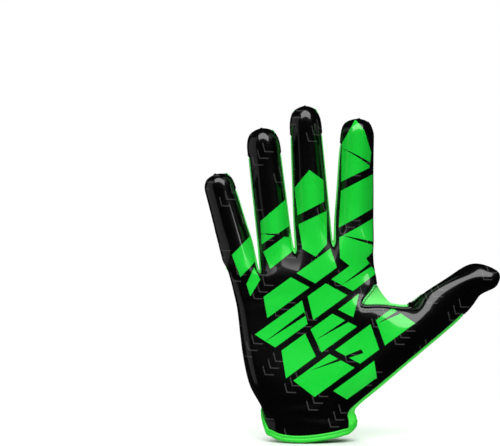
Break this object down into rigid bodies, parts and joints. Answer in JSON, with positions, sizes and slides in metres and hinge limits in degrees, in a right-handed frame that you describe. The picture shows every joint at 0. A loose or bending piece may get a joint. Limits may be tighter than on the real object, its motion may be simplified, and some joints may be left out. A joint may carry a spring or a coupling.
{
  "type": "football receiver glove",
  "caption": "Right-hand football receiver glove with a glossy coated palm, a perforated back and a ribbed wrist tab, keeping the shape of a hand.",
  "frame": {"origin": "middle of the wrist opening, where the hand goes in", "axes": "+X towards the thumb's side, +Y the back of the hand (the palm faces -Y), +Z towards the fingertips"},
  "size_m": [0.1929, 0.0457, 0.2195],
  "materials": {
    "coated_leather": "glossy grip coating",
    "perforated_leather": "perforated, soft sheen",
    "stretch_cloth": "matte stretch knit",
    "binding_cloth": "matte",
    "moulded_rubber": "satin",
    "backing_cloth": "matte"
  },
  "bodies": {
    "root": {"palm_panel": "coated_leather", "back_panel": "perforated_leather", "thumb_panel": "perforated_leather", "thumb_cap": "coated_leather", "index_cap": "coated_leather", "little_cap": "coated_leather", "fourchette_little_ring": "stretch_cloth", "fourchette_ring_middle": "stretch_cloth", "fourchette_middle_index": "stretch_cloth", "thumb_gusset": "stretch_cloth", "cuff_binding": "binding_cloth", "closure_tab": "moulded_rubber", "closure_backing": "backing_cloth"}
  },
  "joints": []
}
